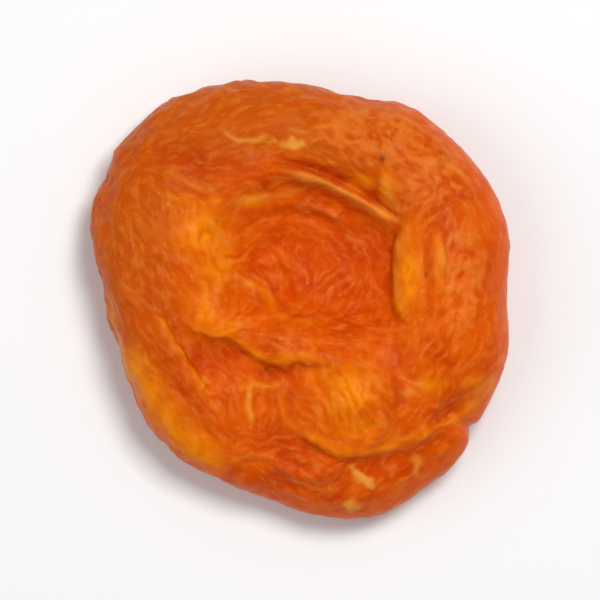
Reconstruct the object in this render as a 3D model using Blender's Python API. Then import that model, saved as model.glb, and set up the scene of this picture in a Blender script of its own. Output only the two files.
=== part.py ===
"""A dried apricot, whole and pitted, lying on a flat surface with its opened face up.

The fruit is one body. It is a round cushion that was pressed flat as it dried: a puffed rim runs all the
way round, and inside it the upper skin has sunk into the hollow that the stone left. The slit that the
stone came out of crosses the upper wall of this hollow, with a thin lip along its lower side. Folds step
down across the lower half, and the skin is drawn up in wrinkles everywhere. Underneath, a shallow crease
runs from the rim to the scar of the stem.

Lengths are in millimetres until the mesh is written. +Z is up, and the origin lies on the surface that
the fruit rests on, under the middle of its box.
"""

import bmesh
import bpy
import numpy as np

for old in list(bpy.data.objects):
    bpy.data.objects.remove(old)

MM = 0.001

# The outline seen from above: degrees anticlockwise from +X, and the distance from the middle there.
OUTLINE = (
    (0, 20.2), (15, 21.0), (32, 21.3), (47, 21.6), (59, 21.7), (70, 20.9), (80, 20.4), (91, 21.0),
    (104, 22.2), (120, 23.1), (136, 23.2), (150, 22.4), (164, 21.1), (179, 19.1), (193, 18.4), (213, 18.8),
    (232, 19.2), (250, 19.0), (263, 19.4), (275, 20.9), (286, 22.0), (303, 21.9), (316, 21.9), (326, 21.0),
    (346, 20.5),
)
MIDDLE = (-0.146, 0.222)  # what centres the box on the origin
NOTCH = (323.4, 1.8, 0.75)  # a cut in the outline: degrees round it, half its width, and its depth

# The crest of the rim above the surface, and the widest line of the side, by the same angles.
CREST_HEIGHT = (
    (15, 12.6), (60, 12.8), (95, 12.3), (140, 11.7), (180, 11.9), (220, 10.8), (255, 9.6), (290, 9.0),
    (325, 10.4), (350, 12.2),
)
SIDE_HEIGHT = ((15, 5.6), (80, 5.2), (140, 4.4), (185, 5.0), (235, 4.6), (280, 3.8), (320, 4.2), (350, 5.2))
MIDDLE_HEIGHT = 11.4
RIM_ROUNDNESS = 4.6  # the power in the section's outline: 2 is an ellipse, and more is a fuller rim

# The hollow of the stone, and the wider sag of the whole upper face: middle, half widths, depth.
STONE_HOLLOW = ((1.4, 4.4), (9.2, 7.0), 3.6)
FACE_SAG = ((-0.6, -0.4), (14.5, 14.5), 1.9)
SOFT, STEEP = 2, 4  # the power in a bowl's section: a round mound, or a flat floor with walls

# The underside rests on three low pads near the rim, and is sunken in the middle.
PAD_ANGLES = (35, 158, 272)
PAD_WIDTH = 24  # degrees each way
PAD_PLACE = 0.66  # as a share of the outline's distance
PAD_REACH = 0.3
GAP_BETWEEN_PADS = 0.9
UNDER_SAG = 1.6
PAD_FLAT = 0.62  # how far the soft pads are pressed flat

# The crease under the fruit, which ends at the stem's scar: its curve, depth and width.
SUTURE = (((-8.8, -16.4), (-6.6, -11.0), (-3.4, -5.6), (0.2, -1.6), (2.0, 1.2)), 0.7, 1.3)
STEM_SCAR = ((2.2, 1.6), (2.0, 1.7), 0.8)

# Each ridge or crease of the upper face: its curve, its height (negative for a crease), and its width.
SLIT_LIP = ((-4.6, 12.6), (-1.4, 12.6), (1.8, 11.6), (4.6, 10.3), (7.4, 8.8), (10.2, 7.3))
LIP_FOOT = ((-9.6, 8.6), (-7.6, 10.4), (-5.0, 11.9), (-2.0, 12.2))
SLIT = ((-3.4, 13.9), (-0.6, 13.3), (1.9, 12.6), (4.4, 11.4), (6.7, 10.2), (8.4, 9.0), (10.0, 7.9))
NOTCH_CREASE = ((17.6, -13.2), (16.4, -12.6), (15.2, -12.1), (13.8, -12.0))
FLANK_CREASE = ((17.4, -7.6), (16.0, -8.8), (15.0, -9.9), (13.8, -11.0), (12.4, -11.6))
FLANK_RIDGE = ((17.2, -9.4), (16.0, -10.6), (14.8, -11.4), (13.4, -12.0))
EDGE_CREASE = ((-14.8, -4.2), (-13.0, -7.2), (-10.9, -9.5), (-9.2, -12.2), (-8.0, -14.6))
SHOULDER_SLIT = ((-12.2, 12.7), (-10.9, 12.2), (-9.5, 11.3))
DISH_FOOT = ((1.6, 0.6), (2.6, -0.8), (3.8, -1.7), (5.0, -0.8), (6.8, -0.4), (8.8, -0.7))
DISH_LINE = ((-2.4, 4.6), (-1.4, 2.6), (-0.4, 0.4))
DISH_RIDGE = ((-1.0, 9.7), (1.4, 9.1), (2.6, 8.6), (4.2, 7.8))
OUTER_ARC = ((-8.2, 2.1), (-6.2, 2.4), (-4.8, 1.6), (-4.0, -0.2))
INNER_ARC = ((-5.2, 2.8), (-3.6, 1.8), (-2.6, -0.2))
SLIT_END = ((6.4, 10.7), (7.6, 9.7), (8.9, 8.5))
BUMP_PIT = ((9.0, -7.4), (9.2, -8.7), (9.8, -9.9))
RIDGES = (
    (SLIT_LIP, 1.0, 0.8),
    (LIP_FOOT, 0.5, 1.2),
    (SLIT, -1.0, 0.45),
    (NOTCH_CREASE, -0.5, 0.4),
    (FLANK_CREASE, -0.45, 0.5),
    (FLANK_RIDGE, 0.3, 0.4),
    (EDGE_CREASE, -0.5, 0.7),
    (((13.1, 7.4), (13.3, 4.3), (13.3, 2.3), (13.9, 0.2)), 0.25, 0.5),
    (((11.2, 7.0), (11.8, 4.3), (12.1, 2.3), (12.0, -0.6)), -0.25, 0.5),
    (((-4.8, -7.6), (-5.1, -9.6), (-4.7, -11.8)), 0.3, 0.35),
    (((-6.4, -8.5), (-4.6, -8.0), (-3.0, -8.1), (-1.4, -7.7)), 0.2, 0.35),
    (((-1.5, -7.6), (-1.9, -9.9), (-1.2, -12.4)), 0.15, 0.4),
    (((-15.2, 13.5), (-11.8, 13.5), (-9.0, 12.0)), -0.9, 1.7),
    (((-12.8, 10.8), (-10.0, 10.0), (-7.4, 10.6)), -0.6, 0.9),
    (((-3.8, -15.0), (-1.0, -16.5), (1.6, -16.8), (4.0, -16.0)), 0.55, 0.5),
    (((-5.0, -17.2), (-1.9, -18.6), (1.4, -18.8)), 0.45, 0.5),
    (((7.4, -10.4), (7.4, -12.4), (5.4, -13.9)), 0.6, 0.6),
    (((-6.6, 7.4), (-2.9, 9.7), (1.3, 9.2), (5.2, 7.2)), 0.3, 0.7),
    (((-6.0, 5.4), (-2.6, 7.6), (1.3, 7.2), (4.9, 5.4)), 0.15, 0.7),
    (SHOULDER_SLIT, -0.4, 0.35),
    (DISH_FOOT, -0.3, 0.4),
    (DISH_LINE, -0.2, 0.35),
    (DISH_RIDGE, 0.3, 0.4),
    (OUTER_ARC, 0.25, 0.4),
    (INNER_ARC, 0.2, 0.35),
    (SLIT_END, -0.5, 0.4),
    (BUMP_PIT, -0.35, 0.4),
)
# Each fold: its curve, with the high side on its left, the step, how sharp its edge is, how far the high
# and the low side reach, and how far its edge hangs over the low side.
RIM_EDGE = (
    (-8.4, 17.2), (-6.4, 16.2), (-3.6, 15.7), (-1.0, 15.7), (1.8, 15.0), (4.6, 13.3), (7.3, 11.7), (9.9, 9.0),
)
HOLLOW_WALL = ((9.9, 8.2), (9.4, 6.0), (9.2, 3.8), (9.1, 1.6), (9.2, -0.4), (9.8, -2.4))
DISH_LIP = (
    (3.6, -1.2), (1.0, -1.7), (-1.2, -1.4), (-2.3, -0.4), (-2.9, 0.9), (-4.1, 2.0), (-5.6, 2.5), (-7.2, 2.2),
)
SHELF_EDGE = (
    (-12.2, -1.4), (-10.4, -2.8), (-8.6, -3.5), (-7.0, -3.8), (-5.4, -4.8), (-4.0, -5.6), (-1.8, -5.8),
    (0.2, -5.6), (2.4, -6.1), (4.2, -6.2),
)
LEFT_CREASE = ((-9.0, -9.0), (-10.3, -6.8), (-11.6, -4.7), (-12.8, -2.6), (-14.2, -0.8))
LOWER_FLAP = (
    (-1.8, -11.6), (0.6, -13.3), (3.4, -14.6), (7.0, -14.8), (10.4, -14.0), (12.6, -13.0), (14.6, -11.8),
)
FOLDS = (
    (RIM_EDGE, 0.4, 0.7, 2.6, 2.2, 0),
    (HOLLOW_WALL, 1.0, 0.5, 3.6, 2.0, 0.25),
    (DISH_LIP, 0.3, 0.4, 1.6, 1.6, 0.05),
    (SHELF_EDGE, 0.55, 0.5, 3.0, 1.8, 0.1),
    (LEFT_CREASE, 0.9, 0.45, 2.2, 1.8, 0.4),
    (LOWER_FLAP, 0.65, 0.5, 2.6, 2.6, 0.2),
)
# Each swelling, or a pocket where its height is negative: its middle, its half widths, and its height.
SWELLINGS = (
    ((4.4, -9.2), (4.4, 3.4), 2.0),
    ((-2.9, -3.0), (5.5, 3.0), 1.0),
    ((10.6, 2.8), (1.8, 4.2), 0.5),
    ((14.6, -5.4), (3.4, 4.4), 0.6),
    ((-9.0, -5.4), (2.6, 1.5), -0.5),
    ((-1.6, -6.9), (2.6, 0.9), -0.5),
    ((14.2, -10.9), (1.8, 1.2), -0.6),
    ((-14.0, -6.0), (2.6, 5.0), 0.5),
)

# Wide lumps in the flesh, and the drawn-up skin: how wide and how high each is, and its seed.
LUMPS = (9.0, 0.5, 11)
NOISE_GAIN = 1.5  # brings the noise to about -1 to 1
FOLDLETS = (3.6, 0.16, 23)
WRINKLES = (1.7, 0.07, 37)
BEND = 0.55  # how far a wrinkle winds, as a share of its width
BEND_LENGTH = 1.6  # how long each bend is, by the same measure
CREST_STEEPNESS = 2.2
# The gathers that run over the rim from the upper face to the underside: width, height, length and seed.
GATHERS = (2.6, 0.16, 14.0, 53)
GATHERED_SIDE = (150, 55)  # degrees: the middle and half of the side where the rim is gathered most
MORE_GATHERED = 1.4
# The side where the rim's outer band is stretched smooth, by the same measure, from which share of the
# outline's distance on, and how much of the wrinkling is lost there.
TAUT_SIDE = (-22, 88)
TAUT_FROM, TAUT_BY = 0.9, 0.97
SMOOTHED = 0.85
TAUT_ABOVE = (-0.3, 0.1)  # by the cosine of the tilt

CURVE_BLEND = 0.3  # how far apart two pieces of a curve can be and still be blended
PATH_POINTS = 40
FADED_END = 0.2  # the share of a curve over which its ridge or fold dies out at each end

# The mesh: rings and segments to sample the skin, and the share of its triangles that the solid keeps.
SEGMENTS = 300
RINGS = 150
TOP_SHARE = 0.66  # of the rings, for the upper face
KEPT_SHARE = 0.122
PRESSED = 0.03  # what is this near the surface lies on it
SECTION_POINTS = 4001
HALF_WIDTH = 21.0
HALF_THICKNESS = 6.0

# Large odd numbers that scramble a cell's place into a number that looks random.
CELL_MIX = (73856093, 19349663, 83492791)
SEED_MIX = 2654435761
ROUND_MIX = (0x2C1B3C6D, 0x297A2D39)
LOW_BITS = 0xFFFFFFFF


def round_knots(angle, knots):
    """A value that runs smoothly round the circle through (degrees, value) knots.

    Between two knots it is a cubic, whose slope at each knot is that of the line between its neighbours.
    """
    at = np.radians([k[0] for k in knots])
    value = np.array([k[1] for k in knots], float)
    at = np.concatenate([at[-2:] - 2 * np.pi, at, at[:2] + 2 * np.pi])
    value = np.concatenate([value[-2:], value, value[:2]])
    slope = np.gradient(value, at)
    angle = np.mod(angle - at[1], 2 * np.pi) + at[1]
    left = np.clip(np.searchsorted(at, angle, side="right") - 1, 0, len(at) - 2)
    width = at[left + 1] - at[left]
    t = (angle - at[left]) / width
    rise = (2 * t**3 - 3 * t**2 + 1) * value[left] + (3 * t**2 - 2 * t**3) * value[left + 1]
    return rise + width * ((t**3 - 2 * t**2 + t) * slope[left] + (t**3 - t**2) * slope[left + 1])


def hashed(cell, seed):
    """A repeatable number from -1 to 1 for each whole-numbered cell, by mixing its three indices."""
    mixed = cell.astype(np.int64) @ np.array(CELL_MIX) + seed * SEED_MIX
    mixed = (mixed ^ (mixed >> 15)) * ROUND_MIX[0] & LOW_BITS
    mixed = (mixed ^ (mixed >> 12)) * ROUND_MIX[1] & LOW_BITS
    mixed = mixed ^ (mixed >> 15)
    return 2 * mixed / LOW_BITS - 1


def noise(place, size, seed):
    """Smooth gradient noise, about -1 to 1, whose lumps are about size wide."""
    scaled = place / size
    cell = np.floor(scaled).astype(np.int64)
    inside = scaled - cell
    ease = inside**3 * (inside * (6 * inside - 15) + 10)
    total = np.zeros(place.shape[:-1])
    for corner in np.ndindex(2, 2, 2):
        step = np.array(corner)
        slope = np.stack([hashed(cell + step, seed + axis) for axis in range(3)], axis=-1)
        weight = np.prod(np.where(step, ease, 1 - ease), axis=-1)
        total += weight * np.sum(slope * (inside - step), axis=-1)
    return NOISE_GAIN * total


def smooth_path(points, count=PATH_POINTS):
    """Points along a smooth curve through the given ones, and its direction at each."""
    points = np.array(points, float)
    slope = np.gradient(points, axis=0)
    at = np.linspace(0, len(points) - 1, count)
    left = np.minimum(at.astype(int), len(points) - 2)
    t = (at - left)[:, None]
    path = (2 * t**3 - 3 * t**2 + 1) * points[left] + (3 * t**2 - 2 * t**3) * points[left + 1]
    path += (t**3 - 2 * t**2 + t) * slope[left] + (t**3 - t**2) * slope[left + 1]
    heading = np.gradient(path, axis=0)
    return path, heading / np.linalg.norm(heading, axis=1, keepdims=True)


def beside(x, y, points):
    """Distance from a curve, positive on its left, the share of the way along it, and its heading there.

    The share and the heading are blended over the nearest pieces of the curve, so that neither jumps
    where a place lies equally near to two of them.
    """
    path, heading = smooth_path(points)
    start, run = path[:-1], np.diff(path, axis=0)
    dx = x[..., None] - start[:, 0]
    dy = y[..., None] - start[:, 1]
    along = np.clip((dx * run[:, 0] + dy * run[:, 1]) / np.sum(run**2, axis=1), 0, 1)
    off = np.hypot(dx - along * run[:, 0], dy - along * run[:, 1])
    near = np.argmin(off, axis=-1)[..., None]
    least = np.take_along_axis(off, near, -1)
    left = np.take_along_axis(run[:, 0] * dy - run[:, 1] * dx, near, -1) >= 0
    weight = np.exp((least - off) / CURVE_BLEND)
    weight = weight / weight.sum(axis=-1, keepdims=True)
    share = np.sum(weight * (np.arange(len(run)) + along), axis=-1) / len(run)
    return np.where(left, least, -least)[..., 0], share, weight @ heading[:-1]


def faded(share):
    """1 along the middle of a curve, easing to 0 at each end."""
    near_end = np.clip(np.minimum(share, 1 - share) / FADED_END, 0, 1)
    return near_end**2 * (3 - 2 * near_end)


def bowl(x, y, middle, half, power):
    """1 in the middle of an oval and falling off past its half widths, more steeply for a higher power."""
    from_middle = np.hypot((x - middle[0]) / half[0], (y - middle[1]) / half[1])
    return np.exp(-(from_middle**power))


def near_angle(angle, middle, half, power):
    """1 at an angle round the fruit and falling off past half each way, in degrees, as a bowl does."""
    apart = np.abs(np.mod(angle - np.radians(middle) + np.pi, 2 * np.pi) - np.pi)
    return np.exp(-((apart / np.radians(half)) ** power))


def upper_face(x, y, crest):
    """The height of the upper face, as if the rim didn't curve down, and its skin's push along X and Y."""
    height = crest - STONE_HOLLOW[2] * bowl(x, y, *STONE_HOLLOW[:2], STEEP)
    height = height - FACE_SAG[2] * bowl(x, y, *FACE_SAG[:2], STEEP)
    for middle, half, rise in SWELLINGS:
        height = height + rise * bowl(x, y, middle, half, SOFT)
    push_x, push_y = np.zeros_like(x), np.zeros_like(x)
    for points, rise, width in RIDGES:
        distance, share, _ = beside(x, y, points)
        height = height + rise * faded(share) * np.exp(-((distance / width) ** 2))
    for points, step, edge, reach_high, reach_low, overhang in FOLDS:
        distance, share, toward = beside(x, y, points)
        reach = np.where(distance > 0, reach_high, reach_low)
        fade = faded(share)
        height = height + step * fade * np.tanh(distance / edge) * np.exp(-np.abs(distance) / reach)
        shift = overhang * fade * np.exp(-(((distance - edge) / edge) ** 2))
        push_x = push_x + shift * toward[..., 1]
        push_y = push_y - shift * toward[..., 0]
    return height, push_x, push_y


def under_face(x, y, angle, share):
    """The height of the underside: down at three pads, raised between them and in the middle, and creased."""
    pads = np.max([near_angle(angle, pad, PAD_WIDTH, SOFT) for pad in PAD_ANGLES], axis=0)
    on_ring = np.exp(-(((share - PAD_PLACE) / PAD_REACH) ** 2))
    height = UNDER_SAG * (1 - on_ring) + GAP_BETWEEN_PADS * (1 - pads) * on_ring - PAD_FLAT
    points, depth, width = SUTURE
    distance, along, _ = beside(x, y, points)
    height = height + depth * faded(along) * np.exp(-((distance / width) ** 2))
    return height + STEM_SCAR[2] * bowl(x, y, *STEM_SCAR[:2], SOFT)


def apricot(angle, tilt):
    """Places on the skin. angle runs round the fruit, and tilt from 0 on top to pi underneath.

    The section is a superellipse: its share of the outline's distance is sin(tilt) to a small power, and
    its height lies cos(tilt) of the way from the widest line to the upper or the under face.
    """
    share = np.sin(tilt) ** (2 / RIM_ROUNDNESS)
    thick = np.cos(tilt)
    radius = round_knots(angle, OUTLINE) - NOTCH[2] * near_angle(angle, *NOTCH[:2], SOFT)
    x = radius * share * np.cos(angle)
    y = radius * share * np.sin(angle)
    side = round_knots(angle, SIDE_HEIGHT)
    crest = MIDDLE_HEIGHT + (round_knots(angle, CREST_HEIGHT) - MIDDLE_HEIGHT) * share**2
    top, push_x, push_y = upper_face(x, y, crest)
    under = under_face(x, y, angle, share)
    z = np.where(thick > 0, side + (top - side) * thick, side + (side - under) * thick)
    upper = np.clip(thick * 2, 0, 1)
    return np.stack([x + push_x * upper - MIDDLE[0], y + push_y * upper - MIDDLE[1], z], axis=-1)


def rings(count, top_share):
    """Tilts from the top of the fruit to its bottom, spaced evenly along the section, closer on top."""
    tilt = np.linspace(0, np.pi, SECTION_POINTS)
    across = HALF_WIDTH * np.sin(tilt) ** (2 / RIM_ROUNDNESS)
    up = HALF_THICKNESS * np.cos(tilt)
    length = np.concatenate([[0], np.cumsum(np.hypot(np.diff(across), np.diff(up)))])
    half = length[len(length) // 2] / length[-1]
    wanted = np.interp(np.linspace(0, 1, count), [0, top_share, 1], [0, half, 1])
    return np.interp(wanted * length[-1], length, tilt)


def puckers(place, width, height, seed):
    """Winding ridges with flats between them, as on drying skin: high where the noise is near nothing."""
    winding = np.stack([noise(place, BEND_LENGTH * width, seed + 3 * axis) for axis in (1, 2, 3)], axis=-1)
    return height * (1 - CREST_STEEPNESS * np.abs(noise(place + BEND * width * winding, width, seed)))


def gathers(angle, tilt):
    """Ridges across the rim: noise on a drum round the fruit, whose lumps are long from top to bottom."""
    width, height, length, seed = GATHERS
    down = HALF_WIDTH * tilt * width / length
    drum = np.stack([HALF_WIDTH * np.cos(angle), HALF_WIDTH * np.sin(angle), down], axis=-1)
    return height * np.sin(tilt) ** 2 * noise(drum, width, seed)


def stepped(value, low, high):
    """0 below low, 1 above high, and a smooth step between them."""
    t = np.clip((value - low) / (high - low), 0, 1)
    return t * t * (3 - 2 * t)


def relief(place, angle, tilt):
    """How far the skin stands out or in at each place, from its lumps down to its wrinkles."""
    width, height, seed = LUMPS
    outward = np.sin(tilt) ** (2 / RIM_ROUNDNESS)
    taut = near_angle(angle, *TAUT_SIDE, STEEP) * stepped(outward, TAUT_FROM, TAUT_BY)
    taut = taut * stepped(np.cos(tilt), *TAUT_ABOVE)
    gathered = 1 + MORE_GATHERED * near_angle(angle, *GATHERED_SIDE, SOFT)
    drawn_up = puckers(place, *FOLDLETS) + puckers(place, *WRINKLES) + gathered * gathers(angle, tilt)
    return height * noise(place, width, seed) + (1 - SMOOTHED * taut) * drawn_up


def get_vertices(mesh, what):
    """What each vertex has, such as its co or its normal, as an array of rows."""
    values = np.empty(len(mesh.vertices) * 3, np.float32)
    mesh.vertices.foreach_get(what, values)
    return values.reshape(-1, 3).astype(float)


def set_vertices(mesh, place):
    mesh.vertices.foreach_set("co", place.astype(np.float32).ravel())
    mesh.update()


def skin_mesh():
    """A sphere's own rings and segments, moved to the fruit's skin and then wrinkled along its normals."""
    bm = bmesh.new()
    bmesh.ops.create_uvsphere(bm, u_segments=SEGMENTS, v_segments=RINGS, radius=1)
    mesh = bpy.data.meshes.new("skin")
    bm.to_mesh(mesh)
    bm.free()
    at = get_vertices(mesh, "co")
    angle = np.arctan2(at[:, 1], at[:, 0])
    ring = np.round(np.arccos(np.clip(at[:, 2], -1, 1)) / np.pi * RINGS).astype(int)
    tilt = rings(RINGS + 1, TOP_SHARE)[ring]
    place = apricot(angle, tilt)
    set_vertices(mesh, place)
    place = place + get_vertices(mesh, "normal") * relief(place, angle, tilt)[:, None]
    place[:, 2] = np.maximum(place[:, 2], 0)
    set_vertices(mesh, place)
    return mesh


def thinned(fruit):
    """The fruit's mesh with most triangles where it is folded most, pressed flat underneath, in metres."""
    thin = fruit.modifiers.new("thin", "DECIMATE")
    thin.ratio = KEPT_SHARE
    thin.use_collapse_triangulate = True
    graph = bpy.context.evaluated_depsgraph_get()
    mesh = bpy.data.meshes.new_from_object(fruit.evaluated_get(graph))
    fruit.modifiers.clear()
    place = get_vertices(mesh, "co")
    place[place[:, 2] < PRESSED, 2] = 0
    set_vertices(mesh, place * MM)
    mesh.shade_smooth()
    return mesh


def flesh_material():
    """Leathery orange flesh with a low sheen."""
    material = bpy.data.materials.new("apricot_flesh")
    material.use_nodes = True
    shader = material.node_tree.nodes["Principled BSDF"]
    shader.inputs["Base Color"].default_value = (0.70, 0.13, 0.012, 1)
    shader.inputs["Roughness"].default_value = 0.5
    shader.inputs["Metallic"].default_value = 0
    return material


fruit = bpy.data.objects.new("dried_apricot", skin_mesh())
bpy.context.scene.collection.objects.link(fruit)
fruit.data = thinned(fruit)
fruit.data.materials.append(flesh_material())
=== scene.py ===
"""A dried apricot, whole and pitted, lying on a pale floor and seen from straight above.

Lengths are in millimetres until they go into a mesh, which is in metres. +Z is up, and +Y is the upper edge
of the picture. Places on the fruit are measured from the middle of its outline.
"""

import bpy
import numpy as np
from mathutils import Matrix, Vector


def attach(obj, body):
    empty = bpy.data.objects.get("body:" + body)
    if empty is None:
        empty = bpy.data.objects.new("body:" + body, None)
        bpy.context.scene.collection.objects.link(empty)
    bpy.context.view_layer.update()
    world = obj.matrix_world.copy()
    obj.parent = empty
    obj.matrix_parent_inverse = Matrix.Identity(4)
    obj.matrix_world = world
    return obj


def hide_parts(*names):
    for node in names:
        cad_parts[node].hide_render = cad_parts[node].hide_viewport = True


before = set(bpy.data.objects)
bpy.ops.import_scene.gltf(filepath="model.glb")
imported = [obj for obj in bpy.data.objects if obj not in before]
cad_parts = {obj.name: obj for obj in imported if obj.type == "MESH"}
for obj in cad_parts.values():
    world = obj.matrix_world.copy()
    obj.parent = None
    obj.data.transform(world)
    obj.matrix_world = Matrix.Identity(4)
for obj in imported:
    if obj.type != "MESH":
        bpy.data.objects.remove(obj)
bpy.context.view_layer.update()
MM = 0.001

# The fruit: one body of dried flesh under its own skin, pressed flat as it dried.
# Its rim stayed puffed, and its upper face sank into the hollow that the stone left, with the slit that the
# stone came out of across the upper wall and folds that step down across the lower half.
SEGMENTS = 480
RINGS = 206
TOP_SHARE = 0.66  # of the rings, for the upper face

# Round the fruit, by degrees from +X: how far out its edge lies, how high the rim's crest would stand if it
# didn't curve down, and how high the widest line of the side runs.
OUTLINE = (
    (0, 20.2), (15, 21.0), (32, 21.3), (47, 21.6), (59, 21.7), (70, 20.9), (80, 20.4), (91, 21.0),
    (104, 22.2), (120, 23.1), (136, 23.2), (150, 22.4), (164, 21.1), (179, 19.1), (193, 18.4), (213, 18.8),
    (232, 19.2), (250, 19.0), (263, 19.4), (275, 20.9), (286, 22.0), (303, 21.9), (316, 21.9), (326, 21.0),
    (346, 20.5),
)
CREST_HEIGHT = (
    (15, 12.6), (60, 12.8), (95, 12.3), (140, 11.7), (180, 11.9), (220, 10.8), (255, 9.6), (290, 9.0),
    (325, 10.4), (350, 12.2),
)
SIDE_HEIGHT = ((15, 5.6), (80, 5.2), (140, 4.4), (185, 5.0), (235, 4.6), (280, 3.8), (320, 4.2), (350, 5.2))
MIDDLE_HEIGHT = 11.4
# The section from the middle over the rim: the power of its superellipse and, for spacing the rings, its
# half sizes.
RIM_ROUNDNESS = 4.6
HALF_WIDTH = 21.0
HALF_THICKNESS = 6.0
NOTCH = (323.4, 1.8, 0.75)  # degrees round the outline, half its width, and how far it cuts in
PUSHED_FROM = 0.5  # the cosine of the tilt from which on the folds push the skin over by their whole reach

# How steeply a bowl's or a swelling's side falls: the power of its bell.
SOFT, STEEP = 2, 4
# Bowls and swellings: middle, half widths, and how far each sinks or rises.
STONE_HOLLOW = ((1.4, 4.4), (9.2, 7.0), 3.6)
FACE_SAG = ((-0.6, -0.4), (14.5, 14.5), 1.9)
STEM_SCAR = ((2.2, 1.6), (2.0, 1.7), 0.8)
SWELLINGS = (
    ((4.4, -9.2), (4.4, 3.4), 2.0),
    ((-2.9, -3.0), (5.5, 3.0), 1.0),
    ((10.6, 2.8), (1.8, 4.2), 0.5),
    ((14.6, -5.4), (3.4, 4.4), 0.6),
    ((-9.0, -5.4), (2.6, 1.5), -0.5),
    ((-1.6, -6.9), (2.6, 0.9), -0.5),
    ((14.2, -10.9), (1.8, 1.2), -0.6),
    ((-14.0, -6.0), (2.6, 5.0), 0.5),
)

# Ridges and creases: curve, height, width.
SLIT_LIP = ((-4.6, 12.6), (-1.4, 12.6), (1.8, 11.6), (4.6, 10.3), (7.4, 8.8), (10.2, 7.3))
LIP_FOOT = ((-9.6, 8.6), (-7.6, 10.4), (-5.0, 11.9), (-2.0, 12.2))
NOTCH_CREASE = ((17.6, -13.2), (16.4, -12.6), (15.2, -12.1), (13.8, -12.0))
FLANK_CREASE = ((17.4, -7.6), (16.0, -8.8), (15.0, -9.9), (13.8, -11.0), (12.4, -11.6))
FLANK_RIDGE = ((17.2, -9.4), (16.0, -10.6), (14.8, -11.4), (13.4, -12.0))
SLIT = ((-3.4, 13.9), (-0.6, 13.3), (1.9, 12.6), (4.4, 11.4), (6.7, 10.2), (8.4, 9.0), (10.0, 7.9))
DISH_LIP = (
    (3.6, -1.2), (1.0, -1.7), (-1.2, -1.4), (-2.3, -0.4), (-2.9, 0.9), (-4.1, 2.0), (-5.6, 2.5), (-7.2, 2.2),
)
RIGHT_RIDGE = ((13.1, 7.4), (13.3, 4.3), (13.3, 2.3), (13.9, 0.2))
LEFT_RIB = ((-4.8, -7.6), (-5.1, -9.6), (-4.7, -11.8))
RIB_BAR = ((-6.4, -8.5), (-4.6, -8.0), (-3.0, -8.1), (-1.4, -7.7))
RIGHT_RIB = ((-1.5, -7.6), (-1.9, -9.9), (-1.2, -12.4))
EDGE_CREASE = ((-14.8, -4.2), (-13.0, -7.2), (-10.9, -9.5), (-9.2, -12.2), (-8.0, -14.6))
EDGE_BAND = ((-17.6, -2.6), (-16.0, -6.6), (-13.9, -9.9), (-11.6, -12.6), (-9.0, -14.8), (-7.0, -16.0))
SHOULDER_DENT = ((-15.2, 13.5), (-11.8, 13.5), (-9.0, 12.0))
SHOULDER_CREASE = ((-12.8, 10.8), (-10.0, 10.0), (-7.4, 10.6))
SHOULDER_SLIT = ((-12.2, 12.7), (-10.9, 12.2), (-9.5, 11.3))
DISH_FOOT = ((1.6, 0.6), (2.6, -0.8), (3.8, -1.7), (5.0, -0.8), (6.8, -0.4), (8.8, -0.7))
DISH_LINE = ((-2.4, 4.6), (-1.4, 2.6), (-0.4, 0.4))
DISH_RIDGE = ((-1.0, 9.7), (1.4, 9.1), (2.6, 8.6), (4.2, 7.8))
OUTER_ARC = ((-8.2, 2.1), (-6.2, 2.4), (-4.8, 1.6), (-4.0, -0.2))
INNER_ARC = ((-5.2, 2.8), (-3.6, 1.8), (-2.6, -0.2))
SLIT_END = ((6.4, 10.7), (7.6, 9.7), (8.9, 8.5))
BUMP_PIT = ((9.0, -7.4), (9.2, -8.7), (9.8, -9.9))
RIDGES = (
    (SLIT_LIP, 1.0, 0.8),
    (LIP_FOOT, 0.5, 1.2),
    (SLIT, -1.0, 0.45),
    (NOTCH_CREASE, -0.5, 0.4),
    (FLANK_CREASE, -0.45, 0.5),
    (FLANK_RIDGE, 0.3, 0.4),
    (RIGHT_RIDGE, 0.25, 0.5),
    (((11.2, 7.0), (11.8, 4.3), (12.1, 2.3), (12.0, -0.6)), -0.25, 0.5),
    (LEFT_RIB, 0.3, 0.35),
    (RIB_BAR, 0.2, 0.35),
    (RIGHT_RIB, 0.15, 0.4),
    (EDGE_CREASE, -0.5, 0.7),
    (SHOULDER_DENT, -0.9, 1.7),
    (SHOULDER_CREASE, -0.6, 0.9),
    (((-3.8, -15.0), (-1.0, -16.5), (1.6, -16.8), (4.0, -16.0)), 0.55, 0.5),
    (((-5.0, -17.2), (-1.9, -18.6), (1.4, -18.8)), 0.45, 0.5),
    (((7.4, -10.4), (7.4, -12.4), (5.4, -13.9)), 0.6, 0.6),
    (((-6.6, 7.4), (-2.9, 9.7), (1.3, 9.2), (5.2, 7.2)), 0.3, 0.7),
    (((-6.0, 5.4), (-2.6, 7.6), (1.3, 7.2), (4.9, 5.4)), 0.15, 0.7),
    (SHOULDER_SLIT, -0.4, 0.35),
    (DISH_FOOT, -0.3, 0.4),
    (DISH_LINE, -0.2, 0.35),
    (DISH_RIDGE, 0.3, 0.4),
    (OUTER_ARC, 0.25, 0.4),
    (INNER_ARC, 0.2, 0.35),
    (SLIT_END, -0.5, 0.4),
    (BUMP_PIT, -0.35, 0.4),
)
SUTURE = (((-8.8, -16.4), (-6.6, -11.0), (-3.4, -5.6), (0.2, -1.6), (2.0, 1.2)), 0.7, 1.3)

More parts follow.
